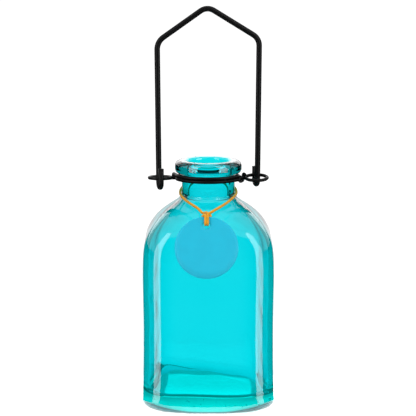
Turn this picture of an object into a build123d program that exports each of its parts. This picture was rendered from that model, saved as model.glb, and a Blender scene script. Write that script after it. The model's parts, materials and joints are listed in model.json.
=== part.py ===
from build123d import *
from math import acos, asin, atan2, cos, degrees, hypot, pi, radians, sin, tan
import os

# A propagation vase: a square glass bottle that hangs in a wire collar and bail, with a
# round tag on a string. Lengths are millimetres. The bottle stands on Z = 0 with its axis
# on Z, its flat sides face X and Y, and the tag hangs in front, towards -Y.

# Overall sizes of the bottle
bottle_height = 127.4
waist_width = 67.4
waist_height = 42.0
base_width = 69.4
body_width = 68.0
shoulder_start = 70.0
shoulder_top = 108.8
neck_diameter = 27.6
mouth_diameter = 21.8
heel_radius = 4.5

# Glass thickness
wall = 2.9
floor_thickness = 7.5
floor_tilt = 5.0
floor_radius = 5.0
base_recess_depth = 1.2
base_recess_diameter = 46.0

# Lip
lip_diameter = 34.9
lip_height = 6.9
lip_top_radius = 3.0
lip_lower_radius = 2.6
mouth_radius = 1.4

# Outline of the sides and shoulder. Each pair is a share of the height of that stretch and
# a share of the way from one width to the next.
lower_side_shares = ((0.0, 1.0), (0.22, 0.55), (0.52, 0.15), (1.0, 0.0))
upper_side_shares = ((0.5, 0.45), (1.0, 1.0))
shoulder_shares = (
    (0.28, 0.015),
    (0.44, 0.06),
    (0.565, 0.165),
    (0.675, 0.305),
    (0.765, 0.46),
    (0.845, 0.635),
    (0.91, 0.795),
    (0.96, 0.91),
    (1.0, 0.99),
)

# Collar wire, which goes round the neck under the lip and carries an eye at each side
collar_wire_diameter = 1.6
collar_diameter = 33.2
collar_height = 118.05
strand_clearance = 0.15
eye_reach = 25.05
eye_diameter = 11.2
right_eye_roll = 7.0
left_eye_roll = -2.5
shank_width_share = 0.53
wrap_room_share = 0.15
ring_steps = 4
ring_corner_angle = 22.0
eye_steps = 6

# Bail wire, bent like the gable of a house, with a hook at the foot of each leg
bail_wire_diameter = 3.0
bail_height = 207.1
left_shoulder_height = 189.1
right_shoulder_height = 190.3
bail_width = 53.0
apex_offset = 0.64
apex_radius = 6.2
left_shoulder_radius = 7.5
right_shoulder_radius = 6.6
hook_clearance = 0.45
hook_drop = 1.8
left_tip_rise = 5.4
right_tip_rise = 4.4
hook_straight_share = 0.02

# String, knot and tag
string_diameter = 1.4
string_stand_off = 2.93
knot_diameter = 3.4
knot_height = 102.7
knot_turns = 3
knot_turn_share = 1.4
knot_core_share = 0.62
knot_stand_off = 3.05
loop_spread = 1.5
loop_drop = 6.24
loop_rise = 0.3
loop_clearance = 0.3
loop_bend_radius = 0.8
tag_diameter = 32.4
tag_thickness = 0.7
tag_hole_diameter = 3.6
tag_hole_inset = 4.5
tag_stand_off = 2.46
tag_clearance = 0.7

# Each bend of a wire or cord takes this share of the shorter run beside it.
bend_share = 0.45
# One overrun serves every cut.
overrun = 1.0

# The route of the string round the neck, from the knot's right side to its left side. The
# part in front of the neck is drawn out or in with the shoulder.
string_route = (
    (1.9, -22.8, 103.8),
    (4.4, -20.25, 104.9),
    (7.35, -18.05, 106.2),
    (10.25, -14.35, 107.6),
    (13.0, -9.0, 108.8),
    (15.9, -1.6, 109.9),
    (15.1, 6.6, 110.7),
    (10.3, 12.8, 111.6),
    (3.5, 15.8, 112.0),
    (-3.6, 15.8, 112.0),
    (-10.5, 12.7, 111.5),
    (-15.1, 6.6, 110.5),
    (-15.9, -1.6, 109.6),
    (-13.25, -9.1, 108.7),
    (-10.65, -14.05, 107.6),
    (-7.75, -17.8, 106.3),
    (-4.8, -20.3, 104.9),
    (-3.7, -22.8, 103.8),
)

# Sizes that follow from the ones above
neck_radius = neck_diameter / 2
bore_radius = mouth_diameter / 2
lip_radius = lip_diameter / 2
collar_radius = collar_diameter / 2
collar_wire_radius = collar_wire_diameter / 2
eye_radius = eye_diameter / 2
strand_rise = collar_wire_diameter + strand_clearance
upper_strand = collar_height + strand_rise
bail_wire_radius = bail_wire_diameter / 2
hook_radius = collar_wire_radius + hook_clearance + bail_wire_radius
string_radius = string_diameter / 2


def bend_radii(points):
    """The largest arc that each corner of a route has room for."""
    radii = []
    for before, corner, after in zip(points, points[1:], points[2:]):
        run_in = Vector(*corner) - Vector(*before)
        run_out = Vector(*after) - Vector(*corner)
        half_turn = radians(run_in.get_angle(run_out) / 2)
        radii.append(bend_share * min(run_in.length, run_out.length) / tan(half_turn))
    return radii


def bent_path(points, radii):
    """Straight runs joined by tangent arcs."""
    return FilletPolyline(*points, radius=radii)


def round_wire(path, diameter):
    """A round bar along a path."""
    section = Plane(origin=path @ 0, z_dir=path % 0) * Circle(diameter / 2)
    return sweep(section, path=path)


def outline_stations():
    """Half width and height of the bottle's outside, from the base to the neck."""
    waist_half = waist_width / 2
    base_flare = base_width / 2 - waist_half
    body_flare = body_width / 2 - waist_half
    stations = []
    for height_share, flare_share in lower_side_shares:
        stations.append((waist_half + flare_share * base_flare, height_share * waist_height))
    upper_side = shoulder_start - waist_height
    for height_share, flare_share in upper_side_shares:
        height = waist_height + height_share * upper_side
        stations.append((waist_half + flare_share * body_flare, height))
    shoulder_height = shoulder_top - shoulder_start
    shoulder_depth = body_width / 2 - neck_radius
    for height_share, depth_share in shoulder_shares:
        height = shoulder_start + height_share * shoulder_height
        stations.append((body_width / 2 - depth_share * shoulder_depth, height))
    return stations


def inner_stations(stations):
    """The outside's stations moved in by the wall, square to the outline."""
    inner = []
    for before, station, after in zip(stations, stations[1:], stations[2:] + stations[-1:]):
        run_out = after[0] - before[0]
        run_up = after[1] - before[1]
        length = hypot(run_out, run_up)
        half_width = station[0] - wall * run_up / length
        height = station[1] + wall * run_out / length
        inner.append((half_width, height))
    return inner


def square_loft(stations, corner_radius):
    """A body whose level sections are rounded squares."""
    sections = []
    for half_width, height in stations:
        square = RectangleRounded(2 * half_width, 2 * half_width, corner_radius)
        sections.append(Pos(0, 0, height) * square)
    return loft(sections)


def bottle_outside():
    """The moulded body, the neck and the rounded lip, still solid."""
    body = square_loft(outline_stations(), neck_radius)
    body = fillet(body.faces().sort_by(Axis.Z)[0].edges(), heel_radius)
    lift = (Align.CENTER, Align.CENTER, Align.MIN)
    neck = Pos(0, 0, shoulder_start) * Cylinder(
        neck_radius, bottle_height - lip_height / 2 - shoulder_start, align=lift
    )
    lip = Pos(0, 0, bottle_height - lip_height) * Cylinder(lip_radius, lip_height, align=lift)
    lip = fillet(lip.edges().group_by(Axis.Z)[-1], lip_top_radius)
    lip = fillet(lip.edges().group_by(Axis.Z)[0], lip_lower_radius)
    return body + neck + lip


def bottle_inside():
    """The space for water, with a floor that slopes as hand-finished glass does."""
    stations = inner_stations(outline_stations())
    space = square_loft([(stations[0][0], 0)] + stations, bore_radius)
    floor = Plane.XY.offset(floor_thickness).rotated((0, floor_tilt, 0))
    depth = (Align.CENTER, Align.CENTER, Align.MAX)
    space -= floor * Box(2 * base_width, 2 * base_width, base_width, align=depth)
    return fillet(space.faces().sort_by(Axis.Z)[0].edges(), floor_radius)


def glass_bottle():
    """The bottle with its cavity, its bore and the shallow recess under its base."""
    lift = (Align.CENTER, Align.CENTER, Align.MIN)
    bore_start = shoulder_top - wall
    bore_length = bottle_height + overrun - bore_start
    bottle = bottle_outside() - bottle_inside()
    bottle -= Pos(0, 0, bore_start) * Cylinder(bore_radius, bore_length, align=lift)
    rim = bottle.edges().filter_by(GeomType.CIRCLE).sort_by(SortBy.RADIUS)
    rim = rim.filter_by(lambda edge: edge.radius < bore_radius + mouth_radius)
    bottle = fillet(rim.group_by(Axis.Z)[-1], mouth_radius)
    recess_half = base_recess_diameter / 2
    recess_radius = (recess_half**2 + base_recess_depth**2) / (2 * base_recess_depth)
    return bottle - Pos(0, 0, base_recess_depth - recess_radius) * Sphere(recess_radius)


def ring_corners(start, end, height, end_height):
    """Corners of a strand that goes round the neck from one angle to another."""
    step = (end - start) / ring_steps
    corner_radius = collar_radius / cos(radians(step / 2))
    corners = []
    for number in range(ring_steps + 1):
        angle = radians(start + number * step)
        share = sin(pi * number / ring_steps)
        corner_height = height + share * (end_height - height)
        corners.append((corner_radius * cos(angle), corner_radius * sin(angle), corner_height))
    return corners


def eye_corners(side, roll):
    """Corners of one eye, from the leg it starts on to the leg it ends on."""
    leg = shank_width_share * collar_wire_diameter
    opening = degrees(asin(leg / eye_radius))
    flare = 180 - 4 * opening
    step = 2 * (flare - opening) / eye_steps
    corner_radius = eye_radius / cos(radians(step / 2))
    corners = []
    for number in range(eye_steps + 1):
        angle = radians(number * step - flare + opening)
        offset = corner_radius * sin(angle)
        reach = eye_reach + corner_radius * cos(angle)
        height = collar_height + side * offset * sin(radians(roll))
        corners.append((side * reach, side * offset, height))
    return corners


def collar_route():
    """Corners of the collar wire, from its end at the left shank to its end at the right."""
    leg = shank_width_share * collar_wire_diameter
    shank_start = collar_radius
    shank_end = eye_reach - eye_radius - wrap_room_share * collar_wire_diameter
    beside = leg + collar_wire_diameter + strand_clearance
    wrap_start = shank_start + collar_wire_diameter
    wrap_end = wrap_start + collar_wire_diameter / 2
    under = collar_height - strand_rise
    route = [
        (-wrap_start, beside, collar_height),
        (-wrap_start, beside, upper_strand),
        (-shank_start, -beside, upper_strand),
    ]
    route += ring_corners(ring_corner_angle - 180, -ring_corner_angle, upper_strand, upper_strand)
    route += [(shank_start, -leg, collar_height), (shank_end, -leg, collar_height)]
    route += eye_corners(1, right_eye_roll)
    route += [(shank_end, leg, collar_height), (shank_start, leg, collar_height)]
    route += ring_corners(ring_corner_angle, 180 - ring_corner_angle, collar_height, upper_strand)
    route += [(-shank_start, leg, collar_height), (-shank_end, leg, collar_height)]
    route += eye_corners(-1, left_eye_roll)
    route += [(-shank_end, -leg, collar_height), (-shank_start, -leg, collar_height)]
    route += ring_corners(ring_corner_angle - 180, -ring_corner_angle, collar_height, collar_height)
    route += [
        (shank_start, -beside, under),
        (wrap_start, beside, under),
        (wrap_start, beside, upper_strand),
        (wrap_end, -leg, upper_strand),
    ]
    return route


def collar_wire():
    """One wire: twice round the front of the neck, once round the back, and two eyes."""
    route = collar_route()
    return round_wire(bent_path(route, bend_radii(route)), collar_wire_diameter)


def bail_route():
    """Corners of the bail, from the tip of the left hook to the tip of the right one."""
    rise = eye_radius * (sin(radians(right_eye_roll)) - sin(radians(left_eye_roll))) / 2
    pivot = Vector(eye_reach, eye_radius, 0)
    across = Vector(-eye_radius, eye_reach, 0).normalized() * hook_radius
    pivot_height = collar_height + rise
    hook_height = pivot_height - hook_drop - hook_radius
    leg = pivot - across
    tip = pivot + across
    along = leg.normalized()
    left = along * (-bail_width / 2)
    right = along * (bail_width / 2)
    apex = along * -apex_offset
    return [
        (-tip.X, -tip.Y, pivot_height + left_tip_rise),
        (-tip.X, -tip.Y, hook_height),
        (-leg.X, -leg.Y, hook_height),
        (left.X, left.Y, left_shoulder_height),
        (apex.X, apex.Y, bail_height),
        (right.X, right.Y, right_shoulder_height),
        (leg.X, leg.Y, hook_height),
        (tip.X, tip.Y, hook_height),
        (tip.X, tip.Y, pivot_height + right_tip_rise),
    ]


def hanger_bail():
    """One wire with a gable top, two legs and two hooks."""
    hook_bend = hook_radius * (1 - hook_straight_share)
    radii = [hook_bend, hook_bend, left_shoulder_radius, apex_radius]
    radii += [right_shoulder_radius, hook_bend, hook_bend]
    return round_wire(bent_path(bail_route(), radii), bail_wire_diameter)


def shoulder_reach(height):
    """How far the bottle's outside stands from its axis at a height."""
    stations = outline_stations()
    for (low_width, low), (high_width, high) in zip(stations, stations[1:]):
        if low <= height <= high:
            return low_width + (high_width - low_width) * (height - low) / (high - low)
    return neck_radius


def string_corners():
    """The string's route, with the part before the neck drawn to fit the shoulder."""
    end_reach = shoulder_reach(string_route[0][2]) + string_stand_off
    route_reach = -string_route[0][1]
    draw = (end_reach - neck_radius) / (route_reach - neck_radius)
    corners = []
    for across, deep, height in string_route:
        past_neck = max(0, -deep - neck_radius)
        corners.append((across, deep + past_neck * (1 - draw), height))
    return corners


def tag_string():
    """The string's free stretch round the neck."""
    corners = string_corners()
    radii = bend_radii(corners)
    path = bent_path(corners, radii)
    string = round_wire(path, string_diameter)
    print("string radii", [round(radius, 1) for radius in radii])
    print("string length", round(path.length, 1))
    section = pi * string_radius**2
    print("string volume over section times length", string.volume / (section * path.length))
    return string


def knot_centre():
    """The middle of the knot, between the two ends of the string and a little lower."""
    middle = (string_route[0][0] + string_route[-1][0]) / 2
    return Vector(middle, -shoulder_reach(knot_height) - knot_stand_off, knot_height)


def tag_lean():
    """The card's lean from upright, at which it hangs in front of the knot and rests on the shoulder."""
    knot = knot_centre()
    room = tag_stand_off - tag_clearance - tag_thickness / 2
    leans = []
    for half_width, height in outline_stations():
        if height < knot.Z:
            run = half_width + knot.Y
            drop = knot.Z - height
            leans.append(acos(room / hypot(run, drop)) - atan2(drop, run))
    return max(leans)


def tag_plane():
    """The tag's middle plane, with the card's centre as origin."""
    lean = tag_lean()
    facing = Vector(0, -cos(lean), sin(lean))
    up_card = Vector(0, sin(lean), cos(lean))
    hole = knot_centre() + facing * tag_stand_off - up_card * loop_drop
    centre = hole - up_card * (tag_diameter / 2 - tag_hole_inset)
    return Plane(origin=centre, x_dir=(1, 0, 0), z_dir=facing)


def hang_tag():
    """A round card with a punched hole near its top edge."""
    radius = tag_diameter / 2
    hole = Pos(0, radius - tag_hole_inset, 0) * Cylinder(
        tag_hole_diameter / 2, tag_thickness + 2 * overrun
    )
    return tag_plane() * (Cylinder(radius, tag_thickness) - hole)


def string_knot():
    """The knot in front of the neck and the doubled cord that goes through the tag."""
    centre = knot_centre()
    turn_radius = (knot_diameter - string_diameter) / 2
    pitch = knot_turn_share * string_diameter
    length = (knot_turns - 1) * pitch
    sideways = Rotation(0, 90, 0)
    place = Pos(centre.X, centre.Y, centre.Z)
    knot = place * sideways * Cylinder(turn_radius + string_radius * knot_core_share, length)
    for number in range(knot_turns):
        offset = number * pitch - length / 2
        knot += place * Pos(offset, 0, 0) * sideways * Torus(turn_radius, string_radius)
    card = tag_plane()
    above_hole = tag_diameter / 2 - tag_hole_inset + loop_rise
    off_card = tag_thickness / 2 + string_radius + loop_clearance
    top = tag_diameter / 2 + string_radius + loop_clearance
    for side in (-1, 1):
        shift = Vector(side * loop_spread / 2, 0, 0)
        corners = [
            centre + shift,
            card.from_local_coords((0, top, off_card)) + shift,
            card.from_local_coords((0, above_hole, off_card)) + shift,
            card.from_local_coords((0, above_hole, -off_card)) + shift,
            centre + shift - Vector(0, 0, turn_radius),
        ]
        corners = [(corner.X, corner.Y, corner.Z) for corner in corners]
        knot += round_wire(bent_path(corners, loop_bend_radius), string_diameter)
    return knot


os.makedirs("parts", exist_ok=True)
export_step(glass_bottle(), "parts/glass_bottle.step")
export_step(collar_wire(), "parts/collar_wire.step")
export_step(hanger_bail(), "parts/hanger_bail.step")
export_step(tag_string(), "parts/tag_string.step")
export_step(string_knot(), "parts/string_knot.step")
export_step(hang_tag(), "parts/hang_tag.step")
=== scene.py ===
"""A propagation vase: a square turquoise bottle in a wire collar and bail, with a card tag.

The bottle stands on Z = 0 with its axis on Z, and the tag hangs towards -Y. Lengths are metres,
written as millimetres times MM.
"""
import json
import logging
import random
from dataclasses import dataclass, field
from enum import Enum
from math import copysign, cos, pi, radians, sin, sqrt

import bmesh
import bpy
import numpy as np
from bpy.types import ID, Material, Node, NodeSocket, NodeTree, Object
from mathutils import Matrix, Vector, noise


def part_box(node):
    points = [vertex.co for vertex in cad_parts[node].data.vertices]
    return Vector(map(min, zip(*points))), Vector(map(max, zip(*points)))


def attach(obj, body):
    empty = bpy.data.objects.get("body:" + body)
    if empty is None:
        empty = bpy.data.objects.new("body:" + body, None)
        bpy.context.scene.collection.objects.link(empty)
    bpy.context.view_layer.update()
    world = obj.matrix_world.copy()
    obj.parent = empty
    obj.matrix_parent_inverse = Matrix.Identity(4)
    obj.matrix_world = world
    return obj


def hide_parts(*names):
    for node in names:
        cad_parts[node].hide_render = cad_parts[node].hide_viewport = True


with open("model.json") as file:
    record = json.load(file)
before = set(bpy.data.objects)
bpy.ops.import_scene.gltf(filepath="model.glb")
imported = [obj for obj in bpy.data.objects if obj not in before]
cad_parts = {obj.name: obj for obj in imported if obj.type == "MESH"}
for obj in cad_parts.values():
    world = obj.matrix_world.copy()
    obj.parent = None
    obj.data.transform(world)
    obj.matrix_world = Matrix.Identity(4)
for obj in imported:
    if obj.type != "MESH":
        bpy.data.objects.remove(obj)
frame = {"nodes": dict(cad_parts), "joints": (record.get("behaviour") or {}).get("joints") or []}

MM = 0.001
PHOTO_PIXELS = 416
ARC_STEPS = 8
QUARTER_TURN = [pi / 2 * step / ARC_STEPS for step in range(ARC_STEPS + 1)]

Array = np.ndarray
Colour = tuple[float, float, float, float]
Faces = list[tuple[int, ...]]
Pairs = list[tuple[float, float]]
Triple = tuple[float, float, float]

log = logging.getLogger("vase")


def linear(hex_colour: str) -> Colour:
    """Turns an sRGB hex colour to linear light.

    Args:
        hex_colour: six hex digits after a hash.

    Returns:
        Red, green, blue and an alpha of one.
    """
    channels = []
    for start in (1, 3, 5):
        value = int(hex_colour[start : start + 2], 16) / 255
        channels.append(value / 12.92 if value <= 0.04045 else ((value + 0.055) / 1.055) ** 2.4)
    return (*channels, 1.0)


def add_node(
    tree: NodeTree, kind: str, settings: dict | None = None, links: dict | None = None
) -> Node:
    """Adds a node with its settings and its incoming links.

    Args:
        tree: the node tree that gets the node.
        kind: the node's type name, without the ShaderNode in front.
        settings: values by property name, or by input name or number.
        links: output sockets by input name or number.

    Returns:
        The new node.
    """
    node = tree.nodes.new(f"ShaderNode{kind}")
    for name, value in (settings or {}).items():
        if isinstance(name, str) and hasattr(node, name):
            setattr(node, name, value)
        else:
            node.inputs[name].default_value = value
    for name, output in (links or {}).items():
        tree.links.new(output, node.inputs[name])
    return node


def new_material(name: str) -> tuple[Material, NodeTree, Node]:
    """Makes an empty node material.

    Args:
        name: the material's name.

    Returns:
        The material, its tree and its output node.
    """
    material = bpy.data.materials.new(name)
    material.use_nodes = True
    tree = material.node_tree
    tree.nodes.clear()
    return material, tree, add_node(tree, "OutputMaterial")


@dataclass(frozen=True)
class MouldedGlass:
    """Soda-lime glass tinted with copper, pressed in a mould.

    The copper takes out mostly red, so thin glass looks cyan and long paths teal. Where
    milky_share isn't zero, the mould's stipple scatters what is below.
    """

    name: str = "moulded_copper_blue_glass"
    index: float = 1.5
    roughness: float = 0.0
    milky_share: float = 0.0
    milky_colour: str = "#f2fff0"
    surface_colour: str = "#f4f8ff"
    shadow_colour: str = "#e6fafc"
    # Already linear: one step of a hex digit would be too coarse over a long path.
    depth_colour: Colour = (0.0, 0.976, 0.977, 1.0)
    density_per_metre: float = 850.0

    def material(self) -> Material:
        """Builds the finished glass.

        Returns:
            The material.
        """
        material, tree, out = new_material(self.name)
        glass = add_node(tree, "BsdfPrincipled", {
            "Base Color": linear(self.surface_colour),
            "Roughness": self.roughness,
            "IOR": self.index,
            "Transmission Weight": 1.0,
        })
        if self.milky_share:
            milky = add_node(tree, "BsdfTranslucent", {
                "Color": linear(self.milky_colour),
            })
            glass = add_node(tree, "MixShader", {0: self.milky_share}, {
                1: glass.outputs[0], 2: milky.outputs[0],
            })
        clear = add_node(tree, "BsdfTransparent", {"Color": linear(self.shadow_colour)})
        path = add_node(tree, "LightPath")
        mixed = add_node(tree, "MixShader", links={
            0: path.outputs["Is Shadow Ray"],
            1: glass.outputs[0],
            2: clear.outputs[0],
        })
        tint = add_node(tree, "VolumeAbsorption", {
            "Color": self.depth_colour,
            "Density": self.density_per_metre,
        })
        tree.links.new(mixed.outputs[0], out.inputs["Surface"])
        tree.links.new(tint.outputs[0], out.inputs["Volume"])
        return material


@dataclass(frozen=True)
class MottledFinish:
    """An opaque surface whose colour drifts slowly, with a fine grain that is barely raised."""

    name: str
    first_colour: str
    second_colour: str
    drift: float
    grain: float
    grain_detail: float
    bump: float
    bump_height: float
    specular: float
    roughness: float
    drift_detail: float = 2.0
    roughest: float | None = None
    fuzz: float = 0.0

    def material(self) -> Material:
        """Builds the finished surface.

        Returns:
            The material.
        """
        material, tree, out = new_material(self.name)
        place = add_node(tree, "TexCoord")
        grain, drift = (
            add_node(tree, "TexNoise", {"Scale": 1 / size, "Detail": detail},
                     {"Vector": place.outputs["Object"]})
            for size, detail in ((self.grain, self.grain_detail), (self.drift, self.drift_detail))
        )
        colour = add_node(tree, "Mix", {
            "data_type": "RGBA",
            6: linear(self.first_colour),
            7: linear(self.second_colour),
        }, {0: drift.outputs["Fac"]})
        bump = add_node(tree, "Bump", {
            "Strength": self.bump, "Distance": self.bump_height,
        }, {"Height": grain.outputs["Fac"]})
        surface = add_node(tree, "BsdfPrincipled", {
            "Roughness": self.roughness,
            "Sheen Weight": self.fuzz,
            "Specular IOR Level": self.specular,
        }, {"Base Color": colour.outputs[2], "Normal": bump.outputs[0]})
        if self.roughest is not None:
            rough = add_node(tree, "MapRange", {
                3: self.roughness, 4: self.roughest,
            }, {0: drift.outputs["Fac"]})
            tree.links.new(rough.outputs[0], surface.inputs["Roughness"])
        tree.links.new(surface.outputs[0], out.inputs["Surface"])
        return material


# Mild steel wire dipped in black paint, which leaves a satin skin with slight runs.
PAINTED_WIRE = MottledFinish(
    name="black_dipped_steel_wire",
    first_colour="#030303",
    second_colour="#0c0c0d",
    drift=7.0 * MM,
    grain=0.9 * MM,
    grain_detail=3.0,
    bump=0.6,
    bump_height=0.02 * MM,
    specular=0.09,
    roughness=0.33,
    roughest=0.52,
)

# Twisted cotton thread dyed yellow-orange, matt and a little fuzzy, in uneven patches.
DYED_THREAD = MottledFinish(
    name="twisted_cotton_thread",
    first_colour="#a8770f",
    second_colour="#d08e06",
    drift=2.5 * MM,
    grain=0.12 * MM,
    grain_detail=2.0,
    bump=0.7,
    bump_height=0.03 * MM,
    specular=0.2,
    roughness=0.78,
    fuzz=0.15,
)

# Coated cardstock printed turquoise all over, which gives an even colour and a dull sheen.
PRINTED_CARD = MottledFinish(
    name="printed_coated_cardstock",
    first_colour="#0396b1",
    second_colour="#02a0bb",
    drift=6.0 * MM,
    drift_detail=3.0,
    grain=0.35 * MM,
    grain_detail=4.0,
    bump=0.5,
    bump_height=0.012 * MM,
    specular=0.25,
    roughness=0.5,
)


class Handed(Enum):
    """Which way a thread's plies turn."""

    Z_TWIST = 1
    S_TWIST = -1


def add_object(name: str, data: ID) -> Object:
    """Adds an object to the scene.

    Args:
        name: the object's name.
        data: its mesh, curve, camera or lamp.

    Returns:
        The object.
    """
    added = bpy.data.objects.new(name, data)
    bpy.context.scene.collection.objects.link(added)
    return added


def mesh_object(name: str, points: Array, faces: Faces, material: Material) -> Object:
    """Makes a smooth-shaded mesh object at the origin.

    Args:
        name: the piece's name.
        points: one row of X, Y and Z for each point.
        faces: the corner numbers of each face.
        material: its finish.

    Returns:
        The piece.
    """
    mesh = bpy.data.meshes.new(name)
    mesh.from_pydata([tuple(point) for point in points.tolist()], [], faces)
    mesh.polygons.foreach_set("use_smooth", [True] * len(mesh.polygons))
    mesh.update()
    mesh.materials.append(material)
    return add_object(name, mesh)


def ring_faces(rings: int, around: int, first: int = 0) -> Faces:
    """Lists the quads between one ring of points and the next.

    Args:
        rings: how many rings there are.
        around: points in a ring.
        first: the number of the first point.

    Returns:
        The faces, each facing away from the axis for rings that climb.
    """
    faces = []
    for low in range(first, first + (rings - 1) * around, around):
        above = low + around
        for number in range(around):
            beside = (number + 1) % around
            faces.append((low + number, low + beside, above + beside, above + number))
    return faces


def closed_faces(rings: int, around: int, first: int = 0) -> Faces:
    """Lists the faces of a stack of rings that is closed to a point at both ends.

    Args:
        rings: how many rings there are. The two end points follow them.
        around: points in a ring.
        first: the number of the first point.

    Returns:
        The quads, then the ends' triangles, one of each end by turns.
    """
    faces = ring_faces(rings, around, first)
    last = first + (rings - 1) * around
    low, high = last + around, last + around + 1
    for number in range(around):
        beside = (number + 1) % around
        faces.append((first + beside, first + number, low))
        faces.append((last + number, last + beside, high))
    return faces


def level_corners(half: float, near: float, level: float) -> list[Triple]:
    """Lists the corners of a level rectangle, which reaches back as far as it is half wide."""
    return [(x, y, level) for x, y in ((-half, near), (half, near), (half, half), (-half, half))]


def distances(line: Array) -> Array:
    """Finds how far along a line each of its points is."""
    return np.concatenate([[0], np.cumsum(np.linalg.norm(np.diff(line, axis=0), axis=1))])


def smooth_line(points: Pairs, per_span: int) -> Array:
    """Runs a smooth line through points, with the tangent at each along its neighbours.

    Args:
        points: places in a plane, in order.
        per_span: how many steps each span gets.

    Returns:
        One row of two coordinates for each step.
    """
    p = np.array([points[0], *points, points[-1]], float)
    s = np.linspace(0, 1, per_span, endpoint=False)[:, None]
    spans = []
    for a, b, c, d in zip(p, p[1:], p[2:], p[3:]):
        here = np.linalg.norm(c - b)
        before = np.linalg.norm(b - a) or here
        after = np.linalg.norm(d - c) or here
        leave = (c - a) * here / (before + here)
        arrive = (d - b) * here / (here + after)
        spans.append(
            (2 * s**3 - 3 * s**2 + 1) * b
            + (s**3 - 2 * s**2 + s) * leave
            + (3 * s**2 - 2 * s**3) * c
            + (s**3 - s**2) * arrive
        )
    return np.vstack([*spans, p[-1:]])


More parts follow.
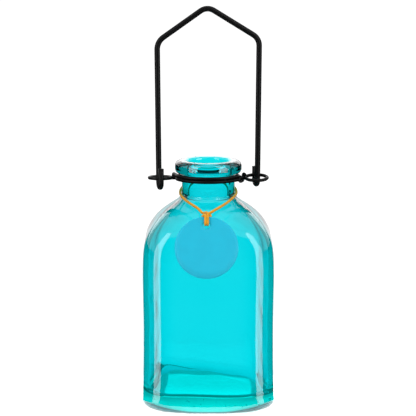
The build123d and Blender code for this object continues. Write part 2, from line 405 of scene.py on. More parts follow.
@dataclass
class GlassBottle:
    """The one-piece bottle: moulded body, neck, lip, cavity and thick uneven floor."""

    height: float = 127.4 * MM
    waist_width: float = 67.4 * MM
    waist_height: float = 42.0 * MM
    base_width: float = 69.3 * MM
    body_width: float = 68.0 * MM
    shoulder_start: float = 70.0 * MM
    shoulder_top: float = 108.8 * MM
    neck_radius: float = 13.8 * MM
    bore_radius: float = 10.9 * MM
    corner_radius: float = 14.2 * MM
    inner_corner_radius: float = 13.0 * MM
    side_heel: float = 2.4 * MM
    corner_heel: float = 6.4 * MM
    wall: float = 2.9 * MM
    floor_thickness: float = 7.5 * MM
    floor_radius: float = 5.0 * MM
    floor_dome: float = 0.8 * MM
    floor_reach: float = 30.0 * MM
    floor_slope: float = 0.12
    floor_slope_span: float = 60.0 * MM
    floor_swell: float = 0.35 * MM
    # The swell's waves along X and along Y: a length for each radian, and a start.
    floor_waves: tuple = ((9.0 * MM, 0.6), (12.0 * MM, 1.1))
    settle_foot: float = 11.0 * MM
    settle_top: float = 22.0 * MM
    corner_blend: float = 10.0 * MM
    recess_depth: float = 1.2 * MM
    recess_radius: float = 23.0 * MM
    lip_radius: float = 17.45 * MM
    lip_height: float = 6.9 * MM
    lip_top_radius: float = 3.0 * MM
    lip_lower_radius: float = 2.6 * MM
    mouth_radius: float = 1.4 * MM
    neck_fillet: float = 1.0 * MM
    fillet_rise: float = 1.4
    ripple_height: float = 0.05 * MM
    ripple_fade: float = 12.0 * MM
    # Each wave's share, its turns in radians per mm of X, Y and Z, and its start.
    ripple_waves: tuple = (
        (1.0, (0.11, 0.0, 0.17), 1.3),
        (0.7, (0.0, -0.16, 0.29), 0.4),
        (0.5, (0.23, 0.31, 0.0), 2.1),
        (0.3, (0.4, 0.0, 0.55), 0.0),
    )
    around: int = 288
    steps_per_span: int = 9
    corner_shares: tuple = (0.8, 1.0, 1.2)
    bubble_count: int = 26
    bubble_seed: int = 7
    bubble_radius_mm: tuple = (0.12, 0.34)
    bubble_spread_mm: tuple = ((-27, 27), (-31, -12), (2.6, 4.4))
    recess_shares: tuple = (0.12, 0.3, 0.5, 0.7, 0.85, 0.95, 1.0)
    foot_ring_shares: tuple = (0.25, 0.5, 0.75, 0.92)
    neck_shares: tuple = (0.15, 0.4, 0.65, 0.9, 1.0)
    bore_shares: tuple = (0.15, 0.4, 0.7, 1.0)
    floor_shares: tuple = (0.94, 0.85, 0.72, 0.56, 0.38, 0.2, 0.08)
    # Each place's share of the height, and of the way to the other half width.
    lower_side_shares: tuple = ((0.0, 1.0), (0.22, 0.55), (0.52, 0.15), (1.0, 0.0))
    upper_side_shares: tuple = ((0.5, 0.45), (1.0, 1.0))
    shoulder_shares: tuple = (
        (0.28, 0.015), (0.44, 0.06), (0.565, 0.165), (0.675, 0.305), (0.765, 0.46),
        (0.845, 0.635), (0.91, 0.795), (0.96, 0.91), (1.0, 0.97),
    )
    directions: Array = field(init=False)
    outward: Array = field(init=False)
    heel: Array = field(init=False)

    def __post_init__(self) -> None:
        """Sets the directions of each ring's points, and the heel's radius in each."""
        self.directions = np.linspace(0, 2 * pi, self.around, endpoint=False)
        self.outward = np.array([np.cos(self.directions), np.sin(self.directions)])
        cornerness = np.sin(2 * self.directions) ** 4
        self.heel = self.side_heel + (self.corner_heel - self.side_heel) * cornerness

    def stations(self) -> Pairs:
        """Lists places along the outside, from the base to the neck.

        Returns:
            Half width and height at each place.
        """
        waist, body = self.waist_width / 2, self.body_width / 2
        bend, start = self.waist_height, self.shoulder_start
        line = []
        for shares, half, far_half, foot, top in (
            (self.lower_side_shares, waist, self.base_width / 2, 0.0, bend),
            (self.upper_side_shares, waist, body, bend, start),
            (self.shoulder_shares, body, self.neck_radius, start, self.shoulder_top),
        ):
            for rise, share in shares:
                line.append((half + share * (far_half - half), foot + rise * (top - foot)))
        return line

    def inner_line(self, outer: Array) -> Array:
        """Moves the outside's line in by the wall.

        Args:
            outer: half width and height along the outside.

        Returns:
            Half width and height along the inside.
        """
        run = np.gradient(outer, axis=0)
        length = np.linalg.norm(run, axis=1)
        inner = outer.copy()
        inner[:, 0] -= self.wall * run[:, 1] / length
        inner[:, 1] += self.wall * run[:, 0] / length
        return inner

    def level_radius(self, half: Array, corner: Array) -> Array:
        """Finds the distance from the axis to a rounded square, in each direction.

        Args:
            half: the square's half width, one value or one for each direction.
            corner: its corner radius, the same way.

        Returns:
            One distance for each direction.
        """
        turn = np.abs((self.directions + pi / 4) % (pi / 2) - pi / 4)
        total = 0
        for share in self.corner_shares:
            radius = np.minimum(corner * share, half)
            centre = half - radius
            flat = half / np.cos(turn)
            along = centre * (np.cos(turn) + np.sin(turn))
            arc = along + np.sqrt(np.maximum(radius**2 - 2 * centre**2 + along**2, 0))
            total = total + np.where(np.tan(turn) * half <= centre, flat, arc)
        return total / len(self.corner_shares)

    def ring(self, radius: Array, height: Array) -> Array:
        """Places one ring's points.

        Args:
            radius: distance from the axis, one value or one for each direction.
            height: height, the same way.

        Returns:
            One row for each point.
        """
        across, deep = self.outward * radius
        return np.column_stack([across, deep, np.broadcast_to(height, across.shape)])

    def ripple(self, points: Array) -> Array:
        """Finds how far the inside strays from its true line, as pressed glass does.

        Args:
            points: one row for each point.

        Returns:
            One distance for each point.
        """
        waves = [
            share * np.sin(points / MM @ np.array(turns) + start)
            for share, turns, start in self.ripple_waves
        ]
        return sum(waves) * self.ripple_height

    def base_rings(self) -> list[Array]:
        """Lists the rings from the middle of the base out to the foot of the side.

        Returns:
            The rings, in order.
        """
        rings = []
        recess = self.recess_radius
        sphere = (recess**2 + self.recess_depth**2) / (2 * self.recess_depth)
        for share in self.recess_shares:
            radius = share * recess
            drop = sphere - sqrt(sphere**2 - radius**2)
            rings.append(self.ring(radius, self.recess_depth - drop))
        edge = self.level_radius(self.base_width / 2, self.corner_radius) - self.heel
        for share in self.foot_ring_shares:
            rings.append(self.ring(recess + share * (edge - recess), 0.0))
        for turn in QUARTER_TURN:
            radius = edge + self.heel * sin(turn)
            rings.append(self.ring(radius, self.heel * (1 - cos(turn))))
        return rings

    def side_rings(self, line: Array) -> list[Array]:
        """Lists the rings from the heel up to the top of the shoulder.

        Args:
            line: half width and height along the outside.

        Returns:
            The rings, in order.
        """
        settle = 2 * self.corner_heel
        rings = []
        for half, height in line[1:]:
            level = np.full(self.around, height)
            if height < settle:
                level = self.heel + (settle - self.heel) * height / settle
            width = np.interp(level, line[:, 1], line[:, 0])
            rings.append(self.ring(self.level_radius(width, self.corner_radius), level))
        return rings

    def neck_and_lip(self) -> list[Array]:
        """Lists the round rings up the neck, over the lip and down the bore.

        Returns:
            The rings, in order.
        """
        top, fillet = self.height, self.neck_fillet
        under = top - self.lip_height
        line = []
        for turn in QUARTER_TURN[2::2]:
            out = self.neck_radius + fillet * (1 - sin(turn))
            line.append((out, self.shoulder_top + fillet * (self.fillet_rise - cos(turn))))
        rise = self.shoulder_top + 2 * fillet
        for share in self.neck_shares:
            line.append((self.neck_radius, rise + share * (under - rise)))
        line.append((self.lip_radius - self.lip_lower_radius, under))
        line += self.fillet(self.lip_radius, under, self.lip_lower_radius, -90)
        line += self.fillet(self.lip_radius, top, self.lip_top_radius, 0)
        line += self.fillet(self.bore_radius, top, self.mouth_radius, 90)
        start = top - self.mouth_radius
        depth = start - (self.shoulder_top - self.wall / 2)
        for share in self.bore_shares:
            line.append((self.bore_radius, start - share * depth))
        return [self.ring(radius, height) for radius, height in line]

    def fillet(self, side: float, level: float, radius: float, start: int) -> Pairs:
        """Lists points a quarter turn round the fillet of an upright side and a level face.

        Args:
            side: distance of the side from the axis.
            level: height of the level face.
            radius: the fillet's radius.
            start: first angle, in degrees from straight out.

        Returns:
            Half width and height at each step.
        """
        middle = radians(start + 45)
        centre = side - copysign(radius, cos(middle))
        height = level - copysign(radius, sin(middle))
        line = []
        for turn in QUARTER_TURN:
            turn += radians(start)
            line.append((centre + radius * cos(turn), height + radius * sin(turn)))
        return line

    def cavity_rings(self, outer: Array) -> list[Array]:
        """Lists the rings from the foot of the bore down the inside to the floor's middle.

        Args:
            outer: half width and height along the outside.

        Returns:
            The rings, in order.
        """
        inner = self.inner_line(outer)
        inner = inner[inner[:, 0] > self.bore_radius]
        foot = self.floor_height(self.level_radius(inner[0, 0], self.inner_corner_radius))
        rings = []
        low = foot + self.floor_radius
        top, start = self.settle_top, self.settle_foot
        for half, height in inner[::-1]:
            if height < start:
                break
            blend = np.clip((half - self.bore_radius) / self.corner_blend, 0, 1)
            corner = self.bore_radius + (self.inner_corner_radius - self.bore_radius) * blend
            level, width = np.full(self.around, height), half
            if height < top:
                level = low + (top - low) * (height - start) / (top - start)
                width = np.interp(level, inner[:, 1], inner[:, 0])
            rings.append(self.ring(self.level_radius(width, corner), level))
        edge = np.hypot(rings[-1][:, 0], rings[-1][:, 1])
        for turn in QUARTER_TURN[1:]:
            radius = edge - self.floor_radius * (1 - cos(turn))
            rings.append(self.ring(radius, low - self.floor_radius * sin(turn)))
        for share in self.floor_shares:
            radius = (edge - self.floor_radius) * share
            rings.append(self.ring(radius, self.floor_height(radius)))
        return rings

    def floor_height(self, radius: Array) -> Array:
        """Finds the height of the cavity's floor, which domes, swells and slopes at the back.

        Args:
            radius: a distance from the axis in each direction.

        Returns:
            One height for each direction.
        """
        x, y = self.outward * radius
        reach = np.clip(np.hypot(x, y) / self.floor_reach, 0, 1)
        (long, start), (deep, deep_start) = self.floor_waves
        swell = np.sin(x / long + start) * np.sin(y / deep + deep_start)
        dome = self.floor_dome * (1 - reach**2)
        slope = self.floor_slope * np.clip(y / self.floor_slope_span + 0.5, 0, 1)
        return self.floor_thickness - slope * x + dome + self.floor_swell * swell * reach

    def bubbles(self, first: int) -> tuple[Array, Faces]:
        """Draws small air bubbles trapped in the thick base.

        Args:
            first: the number of the first point.

        Returns:
            Their points and faces, with the faces turned inward.
        """
        draw = random.Random(self.bubble_seed)
        around, levels = 10, 5
        points, faces = [], []
        for _ in range(self.bubble_count):
            size = draw.uniform(*self.bubble_radius_mm) * MM
            x, y, z = (draw.uniform(*span) * MM for span in self.bubble_spread_mm)
            start = first + len(points)
            for level in range(levels):
                tilt = pi * (level + 1) / (levels + 1)
                for number in range(around):
                    turn = 2 * pi * number / around
                    out = size * sin(tilt)
                    across, deep = out * cos(turn), out * sin(turn)
                    points.append((x + across, y + deep, z - size * cos(tilt)))
            points += [(x, y, z - size), (x, y, z + size)]
            faces += [face[::-1] for face in closed_faces(levels, around, start)]
        return np.array(points), faces

    def build(self, material: Material, underside: Material) -> Object:
        """Builds the bottle and sets it in place of its CAD node.

        Args:
            material: the smooth glass.
            underside: the stippled glass of the face that it stands on.

        Returns:
            The piece.
        """
        outer = smooth_line(self.stations(), self.steps_per_span)
        base = self.base_rings()
        outside = base + self.side_rings(outer)[2:] + self.neck_and_lip()
        inside = self.cavity_rings(outer)
        for ring in inside:
            fade = np.clip((self.shoulder_top - ring[:, 2]) / self.ripple_fade, 0, 1)
            ring[:, :2] += (self.outward * (self.ripple(ring) * fade)).T
        rings = outside + inside
        floor_middle = self.floor_thickness + self.floor_dome
        points = np.vstack([*rings, [(0, 0, self.recess_depth), (0, 0, floor_middle)]])
        balls, ball_faces = self.bubbles(len(points))
        points = np.vstack([points, balls])
        faces = closed_faces(len(rings), self.around) + ball_faces
        piece = mesh_object("bottle_glass", points, faces, material)
        piece.data.materials.append(underside)
        stippled = np.zeros(len(piece.data.polygons), dtype=np.int32)
        stippled[: (len(base) - ARC_STEPS) * self.around] = 1
        stippled[(len(rings) - 1) * self.around : (len(rings) + 1) * self.around : 2] = 1
        piece.data.polygons.foreach_set("material_index", stippled)
        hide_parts("glass_bottle")
        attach(piece, "bottle")
        return piece


def spline_points(route: Array, step: float) -> Array:
    """Reads evenly spaced points from a smooth spline over a route.

    Args:
        route: the spline's control points.
        step: about how far apart the points are.

    Returns:
        One row for each point.
    """
    curve = bpy.data.curves.new("route", "CURVE")
    curve.dimensions = "3D"
    curve.resolution_u = 24
    spline = curve.splines.new("NURBS")
    spline.points.add(len(route) - 1)
    for point, place in zip(spline.points, route):
        point.co = (*place, 1.0)
    spline.order_u = 3
    spline.use_endpoint_u = True
    holder = add_object("route", curve)
    bpy.context.view_layer.update()
    mesh = bpy.data.meshes.new_from_object(holder)
    line = np.array([vertex.co[:] for vertex in mesh.vertices])
    bpy.data.objects.remove(holder)
    bpy.data.meshes.remove(mesh)
    bpy.data.curves.remove(curve)
    run = distances(line)
    places = np.linspace(0, run[-1], max(4, round(run[-1] / step)))
    return np.column_stack([np.interp(places, run, line[:, axis]) for axis in range(3)])


@dataclass
class TwistedThread:
    """A round thread of several plies twisted together."""

    diameter: float = 1.4 * MM
    plies: int = 3
    lay_length: float = 4.8 * MM
    groove_share: float = 0.16
    groove_power: float = 1.4
    start_side: Triple = (0.3, 0.2, 0.93)
    around: int = 24
    step: float = 0.16 * MM
    handed: Handed = Handed.Z_TWIST

    def tube(self, line: Array, first: int = 0) -> tuple[Array, Faces]:
        """Sweeps the twisted section along a line.

        Args:
            line: the points that the thread follows.
            first: the number of the first point.

        Returns:
            The thread's points and faces, closed at both ends.
        """
        ahead = np.gradient(line, axis=0)
        ahead /= np.linalg.norm(ahead, axis=1)[:, None]
        side = np.cross(ahead[0], self.start_side)
        sides = []
        for forward in ahead:
            side = side - forward * np.dot(side, forward)
            side = side / np.linalg.norm(side)
            sides.append(side)
        sides = np.array(sides)
        ups = np.cross(ahead, sides)
        turns = np.linspace(0, 2 * pi, self.around, endpoint=False)
        twist = self.handed.value * 2 * pi * distances(line) / self.lay_length
        lobes = np.abs(np.cos(self.plies * (turns[None] - twist[:, None]) / 2))
        groove = self.groove_share * (1 - lobes) ** self.groove_power
        radius = self.diameter / 2 * (1 - groove)
        rings = (
            line[:, None]
            + sides[:, None] * (radius * np.cos(turns))[..., None]
            + ups[:, None] * (radius * np.sin(turns))[..., None]
        )
        points = np.vstack([rings.reshape(-1, 3), line[:1], line[-1:]])
        return points, closed_faces(len(line), self.around, first)

    def strands(self, lines: list[Array]) -> tuple[Array, Faces]:
        """Sweeps the twisted section along several lines.

        Args:
            lines: the points that each stretch follows.

        Returns:
            The points and faces of them all.
        """
        points, faces = np.empty((0, 3)), []
        for line in lines:
            more, more_faces = self.tube(line, len(points))
            points = np.vstack([points, more])
            faces += more_faces
        return points, faces


@dataclass
class TagString:
    """The thread's free stretch, once round the neck."""

    thread: TwistedThread
    knot_place: Vector
    length: float = 105.5 * MM
    overlap: float = 0.2
    # Behind the neck it rises to just below the collar, which hides it.
    route_mm: tuple = (
        (1.9, -22.8, 103.8), (4.4, -20.25, 104.9), (7.35, -18.05, 106.2),
        (10.25, -14.35, 107.6), (12.8, -8.9, 108.9), (14.95, -1.6, 110.1),
        (14.1, 6.2, 111.9), (10.2, 11.6, 114.2), (3.3, 14.9, 114.8),
        (-3.4, 14.9, 114.8), (-10.2, 11.6, 114.2), (-14.1, 6.2, 111.8),
        (-14.95, -1.6, 110.0), (-13.0, -9.0, 108.8), (-10.65, -14.05, 107.6),
        (-7.75, -17.8, 106.3), (-4.8, -20.3, 104.9), (-3.7, -22.8, 103.8),
    )

    def tucked_ends(self, material: Material) -> Object:
        """Builds the two short stretches that run from the thread's ends into the knot.

        Args:
            material: the thread's finish.

        Returns:
            The piece.
        """
        route = np.array(self.route_mm) * MM
        lines = []
        for end, beside in ((route[0], route[1]), (route[-1], route[-2])):
            onward = (end - beside) / np.linalg.norm(end - beside) * self.thread.diameter / 2
            tucked = np.array([end - onward * self.overlap, end + onward, self.knot_place])
            lines.append(spline_points(tucked, self.thread.step))
        piece = mesh_object("thread_ends", *self.thread.strands(lines), material)
        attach(piece, "bottle")
        return piece

    def build(self, material: Material, tied: list[Object]) -> Object:
        """Args:
            material: the thread's finish.
            tied: the pieces on the thread. Not used.

        Returns:
            The piece.
        """
        route = np.array(self.route_mm) * MM
        line = spline_points(route, self.thread.step)
        piece = mesh_object("neck_thread", *self.thread.tube(line), material)
        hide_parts("tag_string")
        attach(piece, "bottle")
        return piece


@dataclass
class CardTag:
    """The round card with its punched hole, and the knot and loop that hold it."""

    thread: TwistedThread
    diameter: float = 32.4 * MM
    thickness: float = 0.7 * MM
    hole_diameter: float = 3.6 * MM
    hole_inset: float = 4.5 * MM
    lean: float = radians(24.0)
    edge_radius: float = 0.16 * MM
    bow: float = 0.25 * MM
    around: int = 120
    face_shares: tuple = (0.85, 0.66, 0.45, 0.24, 0.1)
    loop_spread: float = 1.2 * MM
    loop_rise: float = 0.3 * MM
    loop_gap: float = 0.1 * MM
    # The loop's places over the card's edge, above the hole and behind it: up, and off the card.
    loop_edge_mm: tuple = ((1.0, -0.25), (-0.9, 0.0))
    loop_hole_mm: tuple = ((1.3, 0.0), (0.0, 0.0))
    loop_back_mm: tuple = ((0.0, 0.0), (1.4, 0.4))
    knot_diameter: float = 3.4 * MM
    knot_width: float = 4.4 * MM
    knot_height: float = 2.9 * MM
    knot_depth: float = 2.8 * MM
    knot_forward: float = 1.2 * MM
    knot_sag: float = 0.8 * MM
    knot_points: int = 150
    knot_place: Vector = field(init=False)
    centre: Vector = field(init=False)
    facing: Vector = field(init=False)
    up_card: Vector = field(init=False)

    def __post_init__(self) -> None:
        """Reads the tag's place and the knot's from the frame."""
        low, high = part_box("hang_tag")
        self.centre = (low + high) / 2
        self.facing = Vector((0, -cos(self.lean), sin(self.lean)))
        self.up_card = Vector((0, sin(self.lean), cos(self.lean)))
        lift = next(joint for joint in frame["joints"] if joint["name"] == "tag_lift")
        self.knot_place = Vector(lift["pos_m"])

    def on_card(self, across: float, up: float, off: float) -> Vector:
        """Places a point that is given in the card's own plane.

        Args:
            across: distance to the right of its centre.
            up: distance up the card from its centre.
            off: distance off its face.

        Returns:
            The point's place in the scene.
        """
        off -= self.bow * (2 * across / self.diameter) ** 2
        return self.centre + Vector((across, 0, 0)) + self.up_card * up + self.facing * off

    def card(self, material: Material) -> Object:
        """Builds the card as one closed sheet with softened cut edges.

        Args:
            material: the card's finish.

        Returns:
            The piece.
        """
        half, soft = self.thickness / 2, self.edge_radius
        rim, hole = self.diameter / 2, self.hole_diameter / 2
        hole_up = rim - self.hole_inset
        edge = [(-soft, half), (0, half - soft), (0, soft - half), (-soft, -half)]
        loops = [(hole, rim + out, 1.0, off) for out, off in edge]
        loops += [(hole, rim, share, -half) for share in self.face_shares]
        loops += [(hole - out, rim, 0.0, off) for out, off in edge[::-1]]
        loops += [(hole, rim, share, half) for share in self.face_shares[::-1]]
        points = []
        for inner, outer, share, off in loops:
            for number in range(self.around):
                turn = 2 * pi * number / self.around
                across, up = cos(turn), sin(turn)
                place = Vector((inner * across, hole_up + inner * up))
                place = place.lerp(Vector((outer * across, outer * up)), share)
                points.append(self.on_card(place.x, place.y, off)[:])
        faces = ring_faces(len(loops) + 1, self.around)
        total = len(points)
        faces = [tuple(corner % total for corner in face) for face in faces]
        piece = mesh_object("card_tag", np.array(points), faces, material)
        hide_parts("hang_tag")
        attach(piece, "tag")
        return piece

    def loop_route(self, side: int) -> Array:
        """Lists the control points of one strand of the loop, down the front and up the back.

        Args:
            side: -1 for the left strand, 1 for the right one.

        Returns:
            One row for each point.
        """
        off = self.thickness / 2 + self.thread.diameter / 2 + self.loop_gap
        rim = self.diameter / 2
        hole = rim - self.hole_inset + self.loop_rise
        shift = side * self.loop_spread / 2
        across = self.knot_place.x - self.centre.x + shift
        knot = self.knot_place + Vector((shift, 0, 0))
        front = knot + self.facing * self.knot_forward - self.up_card * self.knot_sag
        sag = Vector((0, 0, (self.knot_diameter - self.thread.diameter) / 2))
        points = [front]
        for foot, face, places in (
            (rim, 1, self.loop_edge_mm),
            (hole, 1, self.loop_hole_mm),
            (hole, -1, self.loop_back_mm),
        ):
            for up, out in places:
                points.append(self.on_card(across, foot + up * MM, face * (off + out * MM)))
        points.append(knot - sag)
        return np.array(points)

    def knot_line(self) -> Array:
        """Draws the line of the pulled-tight overhand knot, a flattened trefoil.

        Returns:
            One row for each point.
        """
        turn = np.linspace(-pi, pi, self.knot_points)
        across = (np.sin(turn) + 2 * np.sin(2 * turn)) / 3 * self.knot_width / 2
        deep = np.sin(3 * turn) * self.knot_depth / 2
        up = (2 * np.cos(2 * turn) - np.cos(turn)) / 3 * self.knot_height / 2
        middle = self.knot_place + self.facing * self.knot_forward
        middle = np.array(middle - self.up_card * self.knot_sag)
        return middle + np.column_stack([across, deep, up])

    def knot(self, material: Material) -> Object:
        """Builds the knot and the doubled loop through the hole.

        Args:
            material: the thread's finish.

        Returns:
            The piece.
        """
        lines = [spline_points(self.loop_route(side), self.thread.step) for side in (-1, 1)]
        lines.append(self.knot_line())
        piece = mesh_object("thread_knot", *self.thread.strands(lines), material)
        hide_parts("string_knot")
        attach(piece, "tag")
        return piece


@dataclass
class PaintCoat:
    """One wire with its skin of paint, which has filled corners and run a little."""

    node: str
    name: str
    build_up: float
    run_height: float = 0.05 * MM
    run_length: float = 5.0 * MM
    seam: float = 0.002 * MM

    def build(self, material: Material) -> Object:
        """Builds the coated wire from its CAD node's surface.

        Args:
            material: the paint.

        Returns:
            The piece.
        """
        wire = frame["nodes"][self.node]
        shape = bmesh.new()
        shape.from_mesh(wire.data)
        shape.transform(wire.matrix_world)
        bmesh.ops.remove_doubles(shape, verts=shape.verts, dist=self.seam)
        shape.normal_update()
        for vertex in shape.verts:
            drift = noise.noise(vertex.co / self.run_length)
            vertex.co += vertex.normal * (self.build_up + self.run_height * (drift - 1) / 2)
        mesh = bpy.data.meshes.new(self.name)
        shape.to_mesh(mesh)
        shape.free()
        mesh.polygons.foreach_set("use_smooth", [True] * len(mesh.polygons))
        mesh.materials.append(material)
        piece = add_object(self.name, mesh)
        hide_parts(self.node)
        return piece


@dataclass(frozen=True)
class Panel:
    """A softbox, or a black flag where it doesn't glow, that stands facing the bottle."""

    reach: float
    width: float
    low: float
    high: float
    glow: float = 0.0


@dataclass
class Studio:
    """A white sweep with soft lamps, and the camera at the photograph's viewing angle.

    The softboxes streak the corners and whiten the lip's top. The flags keep the flat sides and
    the neck dark. Under the bottle, a large plate shows in the heel and a small one lights the
    stippled underside.
    """

    camera_place: Triple = (-0.157 * MM, -1040.98 * MM, 276.19 * MM)
    camera_down: float = 9.5
    lens_pixels: float = 2020.0
    sensor: float = 36.0
    far_clip: float = 100.0
    floor_size: float = 12.0
    floor_level: float = -0.1 * MM
    floor_colour: Colour = (0.9, 0.9, 0.9, 1.0)
    floor_glow_share: float = 0.82
    floor_glow: float = 1.16
    # Painted shade: the background is dimmer seen through the glass, and dimmest round the
    # glass's edges.
    glow_in_glass: float = 0.9
    glow_in_edges: float = 0.4
    room_light: float = 0.75
    softbox_turn: float = 54.0
    softbox: Panel = Panel(1.0, 0.58, -0.25, 1.9, 5.0)
    back_softbox: Panel = Panel(2.0, 3.0, 0.35, 1.3, 2.2)
    softbox_glow_inside: float = 0.3
    neck_flag: Panel = Panel(22.0 * MM, 30.0 * MM, 104.0 * MM, 118.5 * MM)
    flag_step: float = 28.0
    flags_each_side: int = 5
    tall_flags_each_side: int = 2
    tall_flag: Panel = Panel(1.3, 0.8, -1.6, 1.7)
    low_flag: Panel = Panel(1.3, 0.8, -1.6, 0.27)
    foot_light: float = 3.0
    foot_light_size: float = 96.0 * MM
    foot_light_reach: float = 65.0 * MM
    foot_light_lift: float = 0.01 * MM
    table_light: float = 1.6
    table_light_size: float = 48.0 * MM
    table_light_lift: float = 0.03 * MM
    lamp_aim: Triple = (0.0, 0.0, 0.09)
    # Each lamp's name, place, the side of its square panel, and its power in watts.
    lamps: tuple = (
        ("left_lamp", (-0.9, -0.8, 0.9), 0.7, 9.0),
        ("right_lamp", (0.9, -0.8, 0.9), 0.7, 9.0),
        ("top_lamp", (0.0, 0.2, 1.3), 0.9, 10.0),
    )

    def camera(self) -> None:
        """Places the camera."""
        data = bpy.data.cameras.new("camera")
        data.sensor_width = self.sensor
        data.lens = self.lens_pixels / PHOTO_PIXELS * self.sensor
        data.clip_end = self.far_clip
        holder = add_object("camera", data)
        holder.location = self.camera_place
        holder.rotation_euler = (radians(90 - self.camera_down), 0, 0)
        bpy.context.scene.camera = holder

    def seen(self, tree: NodeTree) -> NodeSocket:
        """Finds the rays that show the background: the camera's, and those off or through glass.

        Args:
            tree: the node tree to add to.

        Returns:
            A socket that is 1 for those rays and 0 for the rest.
        """
        path = add_node(tree, "LightPath")
        shown = path.outputs["Is Camera Ray"]
        for kind in ("Is Glossy Ray", "Is Transmission Ray"):
            links = {0: shown, 1: path.outputs[kind]}
            shown = add_node(tree, "Math", {"operation": "MAXIMUM"}, links).outputs[0]
        return shown

    def brightness(self, tree: NodeTree) -> NodeSocket:
        """Finds how bright the background looks: less through glass, least round its edges.

        The edges are the rays that the glass has reflected inside itself. This dimming is painted
        shade, which darkens the glass, most of all round its edges.

        Args:
            tree: the node tree to add to.

        Returns:
            The brightness's socket.
        """
        path = add_node(tree, "LightPath")
        reflected, refracted = (
            add_node(tree, "Math", {"operation": "MINIMUM", 1: 1.0},
                     {0: path.outputs[depth]})
            for depth in ("Glossy Depth", "Transmission Depth")
        )
        inside = add_node(tree, "Math", {"operation": "MULTIPLY"}, {
            0: reflected.outputs[0], 1: refracted.outputs[0],
        })
        edges = add_node(tree, "MapRange", {
            3: self.glow_in_glass, 4: self.glow_in_edges,
        }, {0: inside.outputs[0]})
        bright = add_node(tree, "Mix", {"data_type": "FLOAT", 3: self.floor_glow}, {
            0: path.outputs["Is Camera Ray"], 2: edges.outputs[0],
        })
        return bright.outputs[0]

    def world(self) -> None:
        """Makes a world that looks white and lights the object evenly."""
        world = bpy.data.worlds.new("sweep")
        bpy.context.scene.world = world
        world.use_nodes = True
        tree = world.node_tree
        tree.nodes.clear()
        white = {"Color": linear("#ffffff")}
        light = add_node(tree, "Background", {**white, "Strength": self.room_light})
        # Painted shade: seen through the glass, this background is dimmed, most of all round the
        # glass's edges.
        shown = add_node(tree, "Background", white, {"Strength": self.brightness(tree)})
        mixed = add_node(tree, "MixShader", links={
            0: self.seen(tree), 1: light.outputs[0], 2: shown.outputs[0],
        })
        out = add_node(tree, "OutputWorld")
        tree.links.new(mixed.outputs[0], out.inputs["Surface"])

    def floor(self) -> None:
        """Lays a white floor that still takes the object's shadow."""
        material, tree, out = new_material("white_sweep_paper")
        paper = add_node(tree, "BsdfDiffuse", {"Color": self.floor_colour})
        # Painted shade: seen through the glass, the floor's glow is dimmed, most of all round the
        # glass's edges.
        glow = add_node(tree, "Emission", links={"Strength": self.brightness(tree)})
        mixed = add_node(tree, "MixShader", {0: self.floor_glow_share}, {
            1: paper.outputs[0], 2: glow.outputs[0],
        })
        tree.links.new(mixed.outputs[0], out.inputs["Surface"])
        half = self.floor_size / 2
        corners = np.array(level_corners(half, -half, 0.0))
        floor = mesh_object("floor", corners, [(0, 1, 2, 3)], material)
        floor.location.z = self.floor_level
        floor.visible_glossy = False

    def stand(self, name: str, turn: float, panel: Panel) -> None:
        """Stands a panel that only reflections show.

        Args:
            name: the panel's name.
            turn: its direction from the front, in degrees.
            panel: its distance, size and brightness.
        """
        angle = radians(turn)
        middle = Vector((sin(angle), -cos(angle), 0)) * panel.reach
        along = Vector((cos(angle), sin(angle), 0)) * panel.width / 2
        corners = []
        for side, height in ((-1, panel.low), (1, panel.low), (1, panel.high), (-1, panel.high)):
            corners.append((middle + along * side + Vector((0, 0, height)))[:])
        self.reflected(name, corners, panel.glow, min(panel.glow, self.softbox_glow_inside))

    def reflected(self, name: str, corners: list, glow: float, glow_inside: float) -> Object:
        """Makes a flat piece that only reflections show.

        Args:
            name: the piece's name.
            corners: its four corners.
            glow: its brightness.
            glow_inside: its brightness for rays that have been through glass.

        Returns:
            The piece.
        """
        material, tree, out = new_material(name)
        path = add_node(tree, "LightPath")
        inside = add_node(tree, "Math", {"operation": "MINIMUM", 1: 1.0},
                          {0: path.outputs["Transmission Depth"]})
        strength = add_node(tree, "MapRange", {
            3: glow, 4: glow_inside,
        }, {0: inside.outputs[0]})
        light = add_node(tree, "Emission", links={"Strength": strength.outputs[0]})
        tree.links.new(light.outputs[0], out.inputs["Surface"])
        piece = mesh_object(name, np.array(corners), [(0, 1, 2, 3)], material)
        for kind in ("camera", "diffuse", "transmission", "shadow", "volume_scatter"):
            setattr(piece, f"visible_{kind}", False)
        return piece

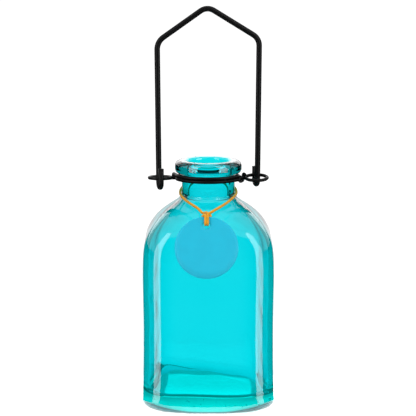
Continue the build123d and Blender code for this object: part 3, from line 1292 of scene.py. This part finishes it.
    def reflections(self) -> None:
        """Sets up everything that only shows as a reflection or a glow in the glass."""
        for number, turn in enumerate((-self.softbox_turn, self.softbox_turn)):
            self.stand(f"softbox_{number}", turn, self.softbox)
            self.stand(f"neck_flag_{number}", turn, self.neck_flag)
        self.stand("back_softbox", 180.0, self.back_softbox)
        each = self.flags_each_side
        for number in range(-each, each + 1):
            flag = self.tall_flag if abs(number) <= self.tall_flags_each_side else self.low_flag
            self.stand(f"flag_{number + each}", number * self.flag_step, flag)
        half, near = self.foot_light_size / 2, -self.foot_light_reach
        corners = level_corners(half, near, self.floor_level + self.foot_light_lift)
        self.reflected("foot_light", corners, self.foot_light, self.table_light)
        half = self.table_light_size / 2
        corners = level_corners(half, -half, self.floor_level + self.table_light_lift)
        table = self.reflected("table_light", corners, self.table_light, self.table_light)
        table.visible_transmission = True
        table.visible_diffuse = True

    def lamp(self, name: str, place: tuple, size: float, power: float) -> None:
        """Hangs one soft lamp.

        Args:
            name: the lamp's name.
            place: where it hangs.
            size: the side of its square panel.
            power: its power in watts.
        """
        data = bpy.data.lights.new(name, "AREA")
        data.size = size
        data.energy = power
        holder = add_object(name, data)
        holder.location = place
        towards = Vector(self.lamp_aim) - Vector(place)
        holder.rotation_euler = towards.to_track_quat("-Z", "Y").to_euler()
        for kind in ("glossy", "transmission", "camera"):
            setattr(holder, f"visible_{kind}", False)

    def build(self) -> None:
        """Sets up the camera, the world, the floor, the lamps and the panels."""
        bpy.context.scene.view_settings.view_transform = "Standard"
        self.camera()
        self.world()
        self.floor()
        self.reflections()
        for name, place, size, power in self.lamps:
            self.lamp(name, place, size, power)


def main() -> None:
    """Builds the vase's pieces in order and reports each one."""
    logging.basicConfig(level=logging.INFO, format="%(name)s: %(message)s")
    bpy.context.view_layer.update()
    Studio().build()
    thread = TwistedThread()
    thread_finish = DYED_THREAD.material()
    tag = CardTag(thread)
    knot = tag.knot(thread_finish)
    card = tag.card(PRINTED_CARD.material())
    string = TagString(thread, tag.knot_place)
    ends = string.tucked_ends(thread_finish)
    pieces = [string.build(thread_finish, [ends, knot, card]), ends, knot, card]
    underside = MouldedGlass("stippled_copper_blue_glass", roughness=0.5, milky_share=0.7)
    pieces.append(GlassBottle().build(MouldedGlass().material(), underside.material()))
    paint = PAINTED_WIRE.material()
    for coat, body in (
        (PaintCoat("collar_wire", "collar_wire_coat", 0.09 * MM), "collar"),
        (PaintCoat("hanger_bail", "bail_wire_coat", -0.005 * MM), "bail"),
    ):
        piece = coat.build(paint)
        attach(piece, body)
        pieces.append(piece)
    for piece in pieces:
        log.info("%s has %d faces", piece.name, len(piece.data.polygons))


if __name__ == "__main__":
    main()
